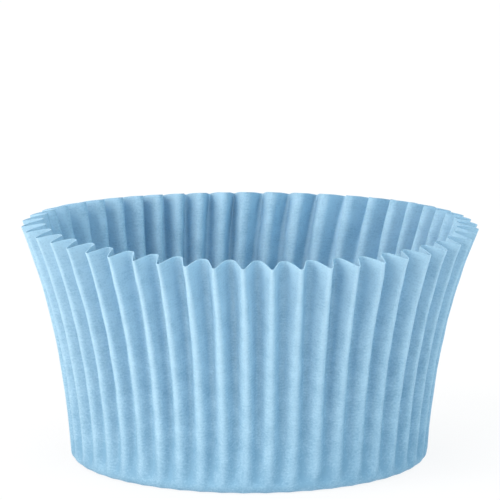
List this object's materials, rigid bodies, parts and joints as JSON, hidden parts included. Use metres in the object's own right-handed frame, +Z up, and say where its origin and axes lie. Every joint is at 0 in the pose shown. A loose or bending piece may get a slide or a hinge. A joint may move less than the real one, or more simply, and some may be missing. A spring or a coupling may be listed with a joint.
{
  "type": "cupcake liner",
  "caption": "Round pleated paper baking cup with a flat floor and a flared, deeply pleated wall; it holds a small cake while it bakes and is served.",
  "frame": {"origin": "centre of the floor's underside, on the surface that the cup stands on", "axes": "+Z up along the cup's axis, out of its mouth; a pleat tip points along each of +X, +Y, -X and -Y"},
  "size_m": [0.0638, 0.0638, 0.033],
  "materials": {
    "liner": "matte"
  },
  "bodies": {
    "root": {"liner": "liner"}
  },
  "joints": []
}
